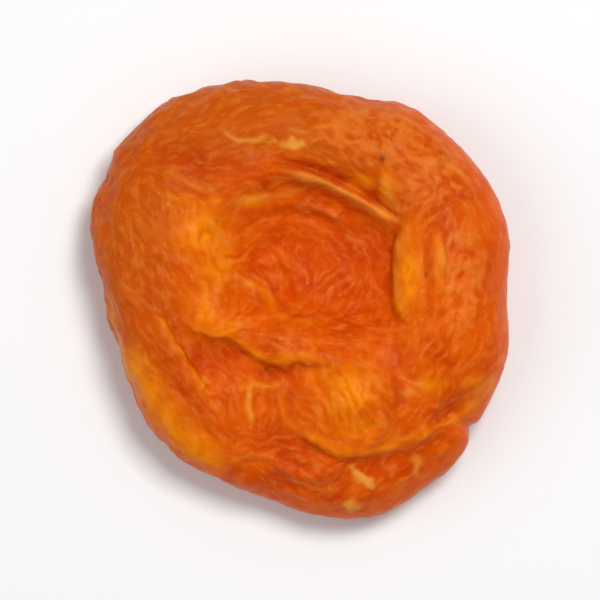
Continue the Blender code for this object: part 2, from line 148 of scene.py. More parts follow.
# Folds: curve with the high side on its left, step, sharpness, reach of the high and low side, overhang.
RIM_EDGE = (
    (-8.4, 17.2), (-6.4, 16.2), (-3.6, 15.7), (-1.0, 15.7), (1.8, 15.0), (4.6, 13.3), (7.3, 11.7), (9.9, 9.0),
)
HOLLOW_WALL = ((9.9, 8.2), (9.4, 6.0), (9.2, 3.8), (9.1, 1.6), (9.2, -0.4), (9.8, -2.4))
SHELF_EDGE = (
    (-12.2, -1.4), (-10.4, -2.8), (-8.6, -3.5), (-7.0, -3.8), (-5.4, -4.8), (-4.0, -5.6), (-1.8, -5.8),
    (0.2, -5.6), (2.4, -6.1), (4.2, -6.2),
)
LEFT_CREASE = ((-9.0, -9.0), (-10.3, -6.8), (-11.6, -4.7), (-12.8, -2.6), (-14.2, -0.8))
LOWER_FLAP = (
    (-1.8, -11.6), (0.6, -13.3), (3.4, -14.6), (7.0, -14.8), (10.4, -14.0), (12.6, -13.0), (14.6, -11.8),
)
FOLDS = (
    (RIM_EDGE, 0.4, 0.7, 2.6, 2.2, 0),
    (HOLLOW_WALL, 1.0, 0.5, 3.6, 2.0, 0.25),
    (DISH_LIP, 0.3, 0.4, 1.6, 1.6, 0.05),
    (SHELF_EDGE, 0.55, 0.5, 3.0, 1.8, 0.1),
    (LEFT_CREASE, 0.9, 0.45, 2.2, 1.8, 0.4),
    (LOWER_FLAP, 0.65, 0.5, 2.6, 2.6, 0.2),
)

# The underside: three low pads near the rim, pressed flat, and a sunken middle.
PAD_ANGLES = (35, 158, 272)
PAD_WIDTH = 24  # degrees to each side
PAD_PLACE = 0.66  # the share of the outline's distance that the pads' middles lie at
PAD_REACH = 0.3  # how far they reach in and out, by the same measure
GAP_BETWEEN_PADS = 0.9
UNDER_SAG = 1.6
PAD_FLAT = 0.62  # how much of each pad is pressed flat

# The relief of the whole skin, from wide lumps to wrinkles: how wide and how high each is, and its seed.
LUMPS = (9.0, 0.5, 11)
FOLDLETS = (3.6, 0.16, 23)
WRINKLES = (1.7, 0.07, 37)
MORE_ON_SIDE = 0.9  # how much more the side is wrinkled than the faces
SIDE_STEEPNESS = 6  # the power of sin(tilt) that tells the side from the faces
# The gathers that run over the rim and the fine creases of the side: width, height, length and seed.
GATHERS = (2.6, 0.16, 14.0, 53)
SIDE_CREASES = (1.2, 0.1, 5.0, 97)
GATHERED_SIDE = (150, 55)  # degrees: the middle and half of the side where the rim is gathered most
MORE_GATHERED = 1.4
# The side where the rim's outer band is stretched smooth, by the same measure, from which share of the
# outline's distance on, above which cosine of the tilt, and how much of the wrinkling is lost there.
TAUT_SIDE = (-22, 88)
TAUT_FROM, TAUT_BY = 0.9, 0.97
TAUT_ABOVE = (-0.3, 0.1)
SMOOTHED = 0.85
TOP_BAND = (-0.1, 0.25)  # the cosines of the tilt between which the upper face's own marks fade in
# The grain of the skin: fine ridges that run round the rim, and one way in each of these patches of the face.
# Each patch has its middle, half widths, the way in degrees, and how high the ridges are.
DRAWN_SKIN = (
    ((-9.8, 6.0), (2.6, 3.6), -60, 0.11),
    ((-8.6, 1.4), (2.0, 2.4), -70, 0.09),
    ((-7.0, 8.8), (1.6, 1.4), 46, 0.12),
    ((-6.4, 4.4), (2.0, 1.4), 18, 0.11),
    ((-4.0, 7.6), (2.6, 1.6), 14, 0.11),
    ((-3.6, 11.0), (3.2, 1.0), 8, 0.09),
    ((2.0, 8.7), (2.8, 1.2), -22, 0.13),
    ((5.8, 5.6), (2.6, 2.4), -44, 0.1),
    ((7.2, 1.8), (1.6, 2.6), -64, 0.08),
    ((-0.6, 4.8), (2.4, 2.6), -62, 0.1),
    ((3.4, 1.2), (2.8, 2.0), 48, 0.1),
    ((-3.4, 1.0), (1.4, 1.8), -56, 0.11),
    ((4.2, -2.4), (4.2, 1.0), 4, 0.13),
    ((-5.4, -1.6), (2.4, 1.6), 30, 0.1),
    ((-0.6, -4.0), (3.6, 1.2), -12, 0.12),
    ((11.2, 3.0), (1.4, 4.4), 86, 0.08),
    ((14.8, 2.6), (1.8, 3.6), 74, 0.1),
    ((14.6, -1.6), (2.0, 1.6), 40, 0.1),
    ((17.6, 1.0), (1.4, 5.0), 88, 0.07),
    ((2.6, -9.8), (3.0, 3.6), -58, 0.13),
    ((6.4, -10.2), (2.4, 3.0), -56, 0.14),
    ((8.8, -13.4), (3.4, 0.9), 14, 0.12),
    ((10.8, -8.2), (1.6, 1.6), -30, 0.13),
    ((13.0, -5.2), (3.0, 3.6), 56, 0.1),
    ((17.4, -8.2), (2.0, 2.4), 34, 0.12),
    ((14.0, -12.2), (2.4, 1.2), 24, 0.14),
    ((-3.4, -10.6), (1.8, 1.8), 70, 0.06),
    ((-8.4, -9.8), (2.4, 2.4), -66, 0.12),
    ((-11.4, -5.6), (1.8, 2.8), -52, 0.13),
    ((-14.8, -4.4), (2.0, 3.4), -52, 0.1),
    ((-12.6, -10.6), (2.4, 3.0), -50, 0.07),
    ((0.8, -15.8), (2.0, 1.0), -30, 0.16),
    ((4.0, -16.0), (1.6, 1.0), 28, 0.14),
    ((-0.6, -17.8), (2.4, 1.0), -42, 0.14),
    ((-4.6, -14.8), (2.4, 1.6), 20, 0.14),
    ((9.6, -16.2), (3.2, 1.6), 36, 0.12),
    ((-11.0, 13.6), (3.4, 1.4), -24, 0.12),
    ((-9.6, 10.8), (2.6, 1.0), -20, 0.1),
    ((-13.6, 8.6), (2.6, 2.6), -56, 0.09),
    ((-15.2, 3.0), (2.4, 5.0), -58, 0.1),
    ((9.6, 15.6), (3.4, 2.0), -36, 0.14),
    ((12.2, 9.2), (2.4, 2.0), 38, 0.1),
    ((14.4, 11.8), (2.0, 1.8), -36, 0.12),
    ((5.6, 12.0), (3.4, 1.6), -30, 0.06),
)
# How much the way round the rim counts beside a patch's own way, and how far out it starts to.
RIM_SAY = 0.25
RIM_STARTS = (7.0, 15.0)
PLAIN_GRAIN = 0.035
# The height from which the grain shows fully in colour, and how much it shows at least.
SHOWN_FROM, LEAST_SHOWN = 0.11, 0.45
# Soft grain of two sizes: how wide its lumps are before they are combed, their share of the height, seed.
GRAIN = ((1.1, 0.4, 61), (0.6, 0.55, 67))
# Sharper threads between the ridges: how wide they wind, their share of the height, their seed, and which
# share of the noise's height a thread takes up.
THREADS = (1.3, 0.9, 73)
THREAD_WIDTH = 0.5
# How the grain bends as it runs: the bends' width, how far they turn it in radians, and a seed.
MEANDERS = ((5.0, 0.5, 79), (1.9, 0.8, 83))
# The walk along the grain that combs it: the length and the number of its steps each way.
COMB_STEP = 0.16
COMB_STEPS = 5
# How steep the sides of the ridges are, and how high they stand at most.
CRISPNESS = 0.75
CRISP_HEIGHT = 0.7
# The worm-like ridges of the rim at the upper right: patches, how far apart they wind, height, seed.
WORM_PATCHES = (((6.4, 16.4), (6.0, 2.6)), ((12.0, 12.2), (3.4, 4.0)), ((15.4, 3.0), (2.2, 6.0)))
WORMS = (1.3, 0.09, 71)
WORM_WIDTH = 0.3  # the share of the noise's height that a ridge takes up
# Flakes of torn, pale skin: middle, half widths, turn in degrees, strength.
FLAKES = (
    ((-9.5, -7.7), (0.6, 0.4), 20, 0.5),
    ((-0.7, 15.2), (1.3, 0.55), -6, 0.9),
    ((-4.3, 15.6), (1.0, 0.25), 4, 0.6),
    ((-2.6, 15.3), (0.8, 0.2), -14, 0.5),
    ((6.0, -17.0), (1.3, 0.45), -36, 1.0),
    ((4.8, -19.7), (0.85, 0.75), 70, 0.85),
    ((11.1, -16.0), (0.35, 1.3), 6, 0.5),
)
FLAKE_LIFT = 0.14
# How far a flake's edge is torn, and the width and seed of the tears along X and along Y.
FLAKE_TEAR = 0.5
TEARS = ((1.1, 241), (0.9, 251))


def round_knots(angle, knots):
    """A value that runs round the circle through (degrees, value) knots, as a cubic between each two."""
    at = np.radians([k[0] for k in knots])
    value = np.array([k[1] for k in knots], float)
    at = np.concatenate([at[-2:] - 2 * np.pi, at, at[:2] + 2 * np.pi])
    value = np.concatenate([value[-2:], value, value[:2]])
    slope = np.gradient(value, at)
    angle = np.mod(angle - at[1], 2 * np.pi) + at[1]
    left = np.clip(np.searchsorted(at, angle, side="right") - 1, 0, len(at) - 2)
    width = at[left + 1] - at[left]
    t = (angle - at[left]) / width
    rise = (2 * t**3 - 3 * t**2 + 1) * value[left] + (3 * t**2 - 2 * t**3) * value[left + 1]
    return rise + width * ((t**3 - 2 * t**2 + t) * slope[left] + (t**3 - t**2) * slope[left + 1])


# Large odd numbers that scramble a cell's place into a number that looks random.
CELL_MIX = (73856093, 19349663, 83492791)
SEED_MIX = 2654435761
ROUND_MIX = (0x2C1B3C6D, 0x297A2D39)
LOW_BITS = 0xFFFFFFFF
NOISE_GAIN = 1.5  # brings the noise to about -1 to 1


def hashed(cell, seed):
    """A repeatable number from -1 to 1 for each whole-numbered cell, by mixing its three indices."""
    bits = cell.astype(np.int64) @ np.array(CELL_MIX) + seed * SEED_MIX
    bits = (bits ^ (bits >> 15)) * ROUND_MIX[0] & LOW_BITS
    bits = (bits ^ (bits >> 12)) * ROUND_MIX[1] & LOW_BITS
    bits = bits ^ (bits >> 15)
    return 2 * bits / LOW_BITS - 1


def noise(place, size, seed):
    """Smooth gradient noise, about -1 to 1, whose lumps are about size wide.

    Each corner of a cell of space has its own slope. A place in the cell gets what the slopes of its eight
    corners say there, blended by a smooth step along each axis.
    """
    scaled = place / size
    cell = np.floor(scaled).astype(np.int64)
    inside = scaled - cell
    ease = inside**3 * (inside * (6 * inside - 15) + 10)
    total = np.zeros(place.shape[:-1])
    for corner in np.ndindex(2, 2, 2):
        step = np.array(corner)
        slope = np.stack([hashed(cell + step, seed + axis) for axis in range(3)], axis=-1)
        weight = np.prod(np.where(step, ease, 1 - ease), axis=-1)
        total += weight * np.sum(slope * (inside - step), axis=-1)
    return NOISE_GAIN * total


PATH_POINTS = 40
CURVE_BLEND = 0.3  # how far apart two pieces of a curve can be and still be blended
FADED_END = 0.2  # the share of a curve over which its ridge or fold dies out at each end


def smooth_path(points):
    """Points along a curve through the given ones, a cubic between each two, and its direction at each."""
    points = np.array(points, float)
    slope = np.gradient(points, axis=0)
    at = np.linspace(0, len(points) - 1, PATH_POINTS)
    left = np.minimum(at.astype(int), len(points) - 2)
    t = (at - left)[:, None]
    path = (2 * t**3 - 3 * t**2 + 1) * points[left] + (3 * t**2 - 2 * t**3) * points[left + 1]
    path += (t**3 - 2 * t**2 + t) * slope[left] + (t**3 - t**2) * slope[left + 1]
    heading = np.gradient(path, axis=0)
    return path, heading / np.linalg.norm(heading, axis=1, keepdims=True)


def beside(x, y, points):
    """Distance from a curve, positive on its left, the share of the way along it, and its heading there.

    The distance is that of the curve's nearest straight piece. The other two are means over its pieces, which
    count the less the farther away they are.
    """
    path, heading = smooth_path(points)
    start, run = path[:-1], np.diff(path, axis=0)
    dx = x[..., None] - start[:, 0]
    dy = y[..., None] - start[:, 1]
    along = np.clip((dx * run[:, 0] + dy * run[:, 1]) / np.sum(run**2, axis=1), 0, 1)
    off = np.hypot(dx - along * run[:, 0], dy - along * run[:, 1])
    near = np.argmin(off, axis=-1)[..., None]
    least = np.take_along_axis(off, near, -1)
    left = np.take_along_axis(run[:, 0] * dy - run[:, 1] * dx, near, -1) >= 0
    weight = np.exp((least - off) / CURVE_BLEND)
    weight = weight / weight.sum(axis=-1, keepdims=True)
    share = np.sum(weight * (np.arange(len(run)) + along), axis=-1) / len(run)
    return np.where(left, least, -least)[..., 0], share, weight @ heading[:-1]


def faded(share):
    """1 along the middle of a curve, and a smooth step to 0 over a share of it at each end."""
    near_end = np.clip(np.minimum(share, 1 - share) / FADED_END, 0, 1)
    return near_end**2 * (3 - 2 * near_end)


def bowl(x, y, middle, half, power):
    """A bell that is 1 in the middle of an oval and falls off past its half widths.

    It is e to the minus a power of the distance counted in half widths. A higher power is steeper.
    """
    from_middle = np.hypot((x - middle[0]) / half[0], (y - middle[1]) / half[1])
    return np.exp(-(from_middle**power))


def near_angle(angle, middle, half, power):
    """The same bell round the fruit, by degrees from a middle angle."""
    apart = np.abs(np.mod(angle - np.radians(middle) + np.pi, 2 * np.pi) - np.pi)
    return np.exp(-((apart / np.radians(half)) ** power))


def upper_face(x, y, crest):
    """The height of the upper face, as if the rim didn't curve down, and its skin's push along X and Y.

    Hollows, swellings and ridges are bells added to the crest. A fold adds a step, which is a tanh across its
    curve that dies out to both sides, and pushes the skin on its edge over the low side.
    """
    height = crest - STONE_HOLLOW[2] * bowl(x, y, *STONE_HOLLOW[:2], STEEP)
    height = height - FACE_SAG[2] * bowl(x, y, *FACE_SAG[:2], STEEP)
    for middle, half, rise in SWELLINGS:
        height = height + rise * bowl(x, y, middle, half, SOFT)
    push_x, push_y = np.zeros_like(x), np.zeros_like(x)
    for points, rise, width in RIDGES:
        distance, share, _ = beside(x, y, points)
        height = height + rise * faded(share) * np.exp(-((distance / width) ** 2))
    for points, step, edge, reach_high, reach_low, overhang in FOLDS:
        distance, share, toward = beside(x, y, points)
        reach = np.where(distance > 0, reach_high, reach_low)
        fade = faded(share)
        height = height + step * fade * np.tanh(distance / edge) * np.exp(-np.abs(distance) / reach)
        shift = overhang * fade * np.exp(-(((distance - edge) / edge) ** 2))
        push_x = push_x + shift * toward[..., 1]
        push_y = push_y - shift * toward[..., 0]
    return height, push_x, push_y


def under_face(x, y, angle, share):
    """The height of the underside: low at three pads, higher between them and in the middle, and creased."""
    pads = np.max([near_angle(angle, pad, PAD_WIDTH, SOFT) for pad in PAD_ANGLES], axis=0)
    on_ring = np.exp(-(((share - PAD_PLACE) / PAD_REACH) ** 2))
    height = UNDER_SAG * (1 - on_ring) + GAP_BETWEEN_PADS * (1 - pads) * on_ring - PAD_FLAT
    points, depth, width = SUTURE
    distance, along, _ = beside(x, y, points)
    height = height + depth * faded(along) * np.exp(-((distance / width) ** 2))
    return height + STEM_SCAR[2] * bowl(x, y, *STEM_SCAR[:2], SOFT)


def skin(angle, tilt):
    """Places on the skin before its wrinkles, and x and y on the drawing of the fruit from above.

    The section is a superellipse: its share of the outline's distance is sin(tilt) to a small power, and
    its height lies cos(tilt) of the way from the widest line to the upper or the under face.
    """
    share = np.sin(tilt) ** (2 / RIM_ROUNDNESS)
    thick = np.cos(tilt)
    notch, notch_half, notch_depth = NOTCH
    radius = round_knots(angle, OUTLINE) - notch_depth * near_angle(angle, notch, notch_half, SOFT)
    x = radius * share * np.cos(angle)
    y = radius * share * np.sin(angle)
    side = round_knots(angle, SIDE_HEIGHT)
    crest = MIDDLE_HEIGHT + (round_knots(angle, CREST_HEIGHT) - MIDDLE_HEIGHT) * share**2
    top, push_x, push_y = upper_face(x, y, crest)
    under = under_face(x, y, angle, share)
    z = np.where(thick > 0, side + (top - side) * thick, side + (side - under) * thick)
    pushed = np.clip(thick / PUSHED_FROM, 0, 1)
    return np.stack([x + push_x * pushed, y + push_y * pushed, z], axis=-1), x, y


SECTION_POINTS = 4001  # how finely the section is measured


def ring_tilts(count, top_share):
    """Tilts from the top of the fruit to its bottom, spaced evenly along the section, closer on top."""
    tilt = np.linspace(0, np.pi, SECTION_POINTS)
    across = HALF_WIDTH * np.sin(tilt) ** (2 / RIM_ROUNDNESS)
    up = HALF_THICKNESS * np.cos(tilt)
    length = np.concatenate([[0], np.cumsum(np.hypot(np.diff(across), np.diff(up)))])
    half = length[len(length) // 2] / length[-1]
    wanted = np.interp(np.linspace(0, 1, count), [0, top_share, 1], [0, half, 1])
    return np.interp(wanted * length[-1], length, tilt)


BEND = 0.55  # how far a wrinkle winds, as a share of its width
BEND_LENGTH = 1.6  # how long each bend is, by the same measure
CREST_STEEPNESS = 2.2


def winding_noise(place, width, seed):
    """Noise whose lumps wind, because each place is shifted by other noise before it is read."""
    shift = np.stack([noise(place, BEND_LENGTH * width, seed + 3 * axis) for axis in (1, 2, 3)], axis=-1)
    return noise(place + BEND * width * shift, width, seed)


def puckers(place, width, height, seed):
    """Winding ridges with sharp crests: the lower, the farther the winding noise is from nothing."""
    return height * (1 - CREST_STEEPNESS * np.abs(winding_noise(place, width, seed)))


def worms(place, width, height, seed):
    """Winding ridges with round crests: a bell across the lines where the winding noise is nothing."""
    return height * np.exp(-((winding_noise(place, width, seed) / WORM_WIDTH) ** 2))


def stepped(value, low, high):
    """0 below low, 1 above high, and a smooth step between them."""
    t = np.clip((value - low) / (high - low), 0, 1)
    return t * t * (3 - 2 * t)


def flat_noise(x, y, size, seed):
    """The noise at height 0, so that it runs through all that lies above a place alike."""
    return noise(np.stack([x, y, np.zeros_like(x)], axis=-1), size, seed)


def grain_way(x, y):
    """Which way the grain runs, in radians: the ways of the rim and of the patches, blended by nearness.

    Each way counts as a vector at twice its angle, because a ridge looks the same from both its ends.
    """
    round_rim = 2 * np.arctan2(y, x) + np.pi
    rim_say = RIM_SAY * stepped(np.hypot(x, y), *RIM_STARTS)
    east, north = rim_say * np.cos(round_rim), rim_say * np.sin(round_rim)
    for middle, half, degrees, _ in DRAWN_SKIN:
        say = bowl(x, y, middle, half, SOFT)
        east = east + say * np.cos(2 * np.radians(degrees))
        north = north + say * np.sin(2 * np.radians(degrees))
    bends = sum(turn * flat_noise(x, y, width, seed) for width, turn, seed in MEANDERS)
    return np.arctan2(north, east) / 2 + bends


def combed(x, y, size, seed):
    """Noise combed into ridges: at each place, its sum over a short walk both ways along the grain.

    A spot counts the less the farther along the walk it is. The whole is brought to a spread of 1.
    """
    total = flat_noise(x, y, size, seed)
    for start in (0, np.pi):
        spot_x, spot_y = x, y
        way = grain_way(x, y) + start
        for step in range(COMB_STEPS):
            spot_x = spot_x + COMB_STEP * np.cos(way)
            spot_y = spot_y + COMB_STEP * np.sin(way)
            turn = grain_way(spot_x, spot_y) - way
            way = way + turn - np.pi * np.round(turn / np.pi)
            far = (step + 1) / (COMB_STEPS + 1)
            total = total + (1 - far) * flat_noise(spot_x, spot_y, size, seed)
    return total / np.std(total)


def gathers(angle, tilt, width, height, length, seed):
    """Ridges across the rim: noise on a drum round the fruit, whose lumps are long from top to bottom.

    They die out on both faces with the square of sin(tilt).
    """
    down = HALF_WIDTH * tilt * width / length
    drum = np.stack([HALF_WIDTH * np.cos(angle), HALF_WIDTH * np.sin(angle), down], axis=-1)
    return height * np.sin(tilt) ** 2 * noise(drum, width, seed)


def normals(place):
    """The way out at each place of the grid: square to the lines to its neighbours round and along it."""
    out = np.cross(np.gradient(place, axis=0), np.roll(place, -1, axis=1) - np.roll(place, 1, axis=1))
    out[0] = (0, 0, 1)
    out[-1] = (0, 0, -1)
    return out / np.linalg.norm(out, axis=-1, keepdims=True)


angle, tilt = np.meshgrid(np.linspace(0, 2 * np.pi, SEGMENTS, endpoint=False), ring_tilts(RINGS, TOP_SHARE))
plain, x, y = skin(angle, tilt)
on_top = stepped(np.cos(tilt), *TOP_BAND)
out_share = np.sin(tilt) ** (2 / RIM_ROUNDNESS)

# The noise is read at the same places as on the solid, whose box is centred on the origin.
SOLID_SHIFT = np.array([0.146, -0.222, 0])
at = plain + SOLID_SHIFT

# The outer band of the rim on the right and below is stretched smooth.
taut = near_angle(angle, *TAUT_SIDE, STEEP) * stepped(out_share, TAUT_FROM, TAUT_BY)
taut = taut * stepped(np.cos(tilt), *TAUT_ABOVE)
smooth = 1 - SMOOTHED * taut
gathered = 1 + MORE_GATHERED * near_angle(angle, *GATHERED_SIDE, SOFT)
broad = smooth * (gathered * gathers(angle, tilt, *GATHERS) + puckers(at, *FOLDLETS))
lump_width, lump_height, lump_seed = LUMPS
broad = broad + lump_height * noise(at, lump_width, lump_seed)

# The grain is made on the upper face only.
grain = np.zeros_like(x)
upper = on_top > 0
for size, portion, seed in GRAIN:
    grain[upper] = grain[upper] + portion * combed(x[upper], y[upper], size, seed)
size, portion, seed = THREADS
crests = np.exp(-((combed(x[upper], y[upper], size, seed) / THREAD_WIDTH) ** 2))
grain[upper] = grain[upper] + portion * (crests - np.mean(crests))
grain = CRISP_HEIGHT * np.tanh(CRISPNESS * grain)
grain_height = np.full_like(x, PLAIN_GRAIN)
for middle, half, _, height in DRAWN_SKIN:
    grain_height = np.maximum(grain_height, height * bowl(x, y, middle, half, SOFT))
wormy = on_top * np.max([bowl(x, y, middle, half, STEEP) for middle, half in WORM_PATCHES], axis=0)
wormy = wormy * worms(at, *WORMS)
on_side = np.sin(tilt) ** SIDE_STEEPNESS
wrinkled = (1 + MORE_ON_SIDE * on_side) * puckers(at, *WRINKLES)
creased = on_side * gathers(angle, tilt, *SIDE_CREASES)
fine = smooth * (wrinkled + creased + on_top * grain_height * grain + wormy)


def flaked(middle, half, degrees):
    """1 on a flake of skin and 0 past its edge: a steep oval, turned, whose edge is torn unevenly."""
    turn = np.radians(degrees)
    dx = x - middle[0] + FLAKE_TEAR * noise(at, *TEARS[0])
    dy = y - middle[1] + FLAKE_TEAR * noise(at, *TEARS[1])
    along = dx * np.cos(turn) + dy * np.sin(turn)
    across = dy * np.cos(turn) - dx * np.sin(turn)
    return bowl(along, across, (0, 0), half, STEEP)


flakes = np.zeros_like(x)
for middle, half, degrees, strength in FLAKES:
    flakes = np.maximum(flakes, strength * on_top * flaked(middle, half, degrees))

# The whole relief stands square to the skin, and the floor presses the pads flat.
place = at + normals(plain) * (broad + fine + FLAKE_LIFT * flakes)[..., None]
place[..., 2] = np.maximum(place[..., 2], 0)

# How the skin is coloured, each from 0 to 1. Where it is stretched over a fold's edge or lies thin, the
# flesh shows gold, partly its own colour and partly painted highlight on slopes and crests that face the
# light.
# Where it has sunk in, it is deep red, partly its deeper tone and partly painted shade in hollows and
# creases.
# Gold and red patches: middle, half widths, strength.
# The gold patches are partly painted highlight on slopes and walls that face the light.
GOLD_PATCHES = (
    ((-9.8, 6.8), (2.3, 2.6), 1.0),
    ((-8.2, 3.4), (2.0, 2.4), 0.8),
    ((-9.2, -0.6), (1.3, 2.6), 0.75),
    ((-7.6, -2.6), (1.8, 1.0), 0.6),
    ((-4.6, 10.0), (1.3, 0.7), 0.8),
    ((4.6, -8.8), (2.8, 2.4), 0.95),
    ((5.4, -11.6), (3.2, 1.8), 0.55),
    ((2.8, -6.9), (2.8, 1.1), 0.5),
    ((10.4, 3.0), (1.0, 3.8), 1.0),
    ((5.9, 11.6), (1.3, 0.9), 0.8),
    ((8.2, 10.6), (0.8, 1.8), 0.95),
    ((-13.6, -10.8), (1.3, 1.6), 0.6),
    ((-9.6, -14.0), (1.4, 1.0), 0.6),
    ((12.6, -8.0), (1.3, 1.2), 0.6),
    ((17.2, -7.8), (1.6, 0.7), 0.45),
)
# The red patches are partly the skin's deeper tone and partly painted shade in the pockets under the shelf
# and in dents.
RED_PATCHES = (
    ((-9.2, -4.7), (2.9, 1.2), 0.9),
    ((-1.4, -6.8), (2.2, 0.8), 0.95),
    ((3.8, 3.8), (5.6, 4.6), 0.5),
    ((-10.6, 13.2), (4.0, 1.9), 0.75),
    ((-2.6, -13.2), (3.0, 1.5), 0.45),
    ((5.0, -16.0), (7.0, 1.0), 0.5),
    ((-15.0, -1.6), (2.0, 2.6), 0.3),
    ((12.1, 3.6), (0.5, 2.6), 0.4),
    ((4.6, 8.8), (3.2, 0.7), 0.5),
    ((9.4, 15.4), (5.0, 3.4), 0.3),
    ((15.4, 9.4), (2.6, 4.4), 0.2),
)
# Gold, red and pale lines: curve, how far to its left, width, strength. The gold lines are partly painted
# highlight on fold crests and lit walls.
GOLD_LINES = (
    (SHELF_EDGE, 0.5, 0.4, 0.5),
    (LOWER_FLAP, 0.7, 0.5, 0.5),
    (HOLLOW_WALL, 0.5, 0.45, 0.8),
    (LEFT_CREASE, 0.3, 0.4, 0.5),
    (EDGE_BAND, 0, 1.4, 0.85),
    (DISH_LIP, 0.5, 0.4, 0.4),
    (RIGHT_RIDGE, 0, 0.3, 0.6),
    (LEFT_RIB, 0, 0.4, 0.5),
    (RIB_BAR, 0, 0.5, 0.4),
    (RIGHT_RIB, 0, 0.4, 0.35),
    (FLANK_RIDGE, 0, 0.4, 0.5),
    (SHOULDER_CREASE, -0.5, 0.4, 0.5),
)
# The red lines are painted shade along slits, creases and pits and on the low sides of folds.
RED_LINES = (
    (SLIT, 0, 0.45, 0.9),
    (DISH_LIP, -0.5, 0.4, 0.5),
    (EDGE_CREASE, 0, 0.6, 0.3),
    (FLANK_CREASE, 0, 0.5, 0.7),
    (HOLLOW_WALL, -0.4, 0.3, 0.6),
    (DISH_FOOT, 0, 0.3, 0.6),
    (DISH_LINE, 0, 0.25, 0.6),
    (SLIT_END, 0, 0.35, 0.9),
    (SHOULDER_SLIT, 0, 0.25, 0.8),
    (BUMP_PIT, 0, 0.35, 0.8),
    (LOWER_FLAP, -0.6, 0.4, 0.5),
    (((-4.4, -7.0), (-3.2, -6.8), (-2.0, -6.6)), 0, 0.45, 0.9),
    (((-1.6, -6.5), (-0.4, -6.3), (0.9, -6.1)), 0, 0.35, 0.9),
)
# Pale lines: partly torn pale skin, partly painted highlight along the lip's crest, the ribs, the ridges of
# the wall and flank, and the rim's left edge.
PALE_LINES = (
    (((-2.6, 12.9), (1.5, 11.7), (3.8, 10.6), (5.8, 9.6), (7.6, 8.7), (10.4, 7.4)), 0, 0.5, 0.6),
    (((-7.6, 16.5), (-6.3, 15.7), (-5.0, 15.6), (-3.4, 15.6)), 0, 0.25, 0.7),
    (LEFT_RIB, 0, 0.25, 0.45),
    (RIB_BAR, 0, 0.25, 0.2),
    (((10.3, 7.2), (9.8, 5.4), (9.6, 3.4), (9.6, 1.4), (9.8, -0.8)), 0, 0.3, 0.35),
    (((7.8, 12.2), (8.2, 10.8), (8.8, 9.6), (9.8, 8.4)), 0, 0.35, 0.45),
    (((13.4, 5.6), (13.8, 3.6), (14.4, 1.2)), 0, 0.35, 0.3),
    (((11.4, 13.2), (13.6, 13.4), (15.4, 12.2), (16.8, 10.4)), 0, 0.3, 0.3),
    (((-19.0, 1.6), (-18.2, -1.8), (-17.7, -3.8), (-16.8, -6.2), (-15.2, -8.4)), 0, 0.35, 0.4),
    (((-9.0, 7.6), (-8.3, 6.7), (-7.2, 5.4)), 0, 0.3, 0.35),
    (((-13.4, 13.2), (-11.6, 12.0), (-10.2, 11.1), (-9.0, 10.8), (-7.4, 11.6)), 0, 0.25, 0.3),
    (((1.2, 11.3), (-1.6, 10.6), (-4.0, 10.2), (-6.4, 9.9), (-8.0, 9.0)), 0, 0.35, 0.3),
    (OUTER_ARC, 0, 0.3, 0.25),
    (INNER_ARC, 0, 0.25, 0.25),
    (DISH_RIDGE, 0, 0.3, 0.25),
    (((15.8, -10.2), (17.2, -9.2), (18.6, -8.0)), 0, 0.3, 0.3),
    (((16.4, -8.8), (17.6, -7.9), (18.8, -6.8)), 0, 0.3, 0.3),
    (((9.8, -9.0), (10.6, -8.3), (11.4, -7.8)), 0, 0.45, 0.35),
)
# Dark specks: middle, size, strength.
SPECKS = (
    ((7.8, 13.8), 0.3, 0.8),
    ((12.0, 2.7), 0.26, 0.75),
    ((-3.4, -6.4), 0.24, 0.7),
    ((-2.4, 1.4), 0.22, 0.4),
)
# How uneven the paint is: wide and small spots, each with their width and share, and streaks of the grain.
WIDE_SPOTS = (1.6, 0.6)
SMALL_SPOTS = (0.7, 0.35)
STREAKS = 0.5


def painted(patches, lines, roughness, seed):
    """How strong a colour is at each place: the most of its patches and lines, made uneven by roughness."""
    wide = WIDE_SPOTS[1] * noise(at, WIDE_SPOTS[0], seed)
    small = SMALL_SPOTS[1] * noise(at, SMALL_SPOTS[0], seed + 1)
    uneven = roughness * (wide + small + STREAKS * grain)
    total = np.zeros_like(x)
    for middle, half, strength in patches:
        total = np.maximum(total, strength * bowl(x, y, middle, half, SOFT) * (1 + uneven))
    for points, offset, width, strength in lines:
        distance, share, _ = beside(x, y, points)
        line = faded(share) * np.exp(-(((distance - offset) / width) ** 2))
        total = np.maximum(total, strength * line * (1 + uneven))
    return np.clip(total, 0, 1) * on_top


specks = np.zeros_like(x)
for middle, size, strength in SPECKS:
    specks = np.maximum(specks, strength * on_top * bowl(x, y, middle, (size, size), SOFT))
# The side of the rim that is coloured browner and darker, in degrees, and the shares of the outline's
# distance over which it fades in.
BROWNER_SIDE = (130, 85)
BROWNER_FROM = (0.5, 0.75)
# How much the grain, the worm-like ridges and the creases of the side each show in the colour, as painted
# highlight on their crests and painted shade in their furrows.
GRAIN_IN_COLOUR = 0.55
WORMS_IN_COLOUR = 0.4
CREASES_IN_COLOUR = 0.4
# The grain shows least in colour where it is lowest.
grain_shown = np.clip(grain_height / SHOWN_FROM, LEAST_SHOWN, 1)
ridged = GRAIN_IN_COLOUR * grain * on_top * grain_shown
ridged = ridged + WORMS_IN_COLOUR * wormy / WORMS[1] + CREASES_IN_COLOUR * creased / SIDE_CREASES[1]
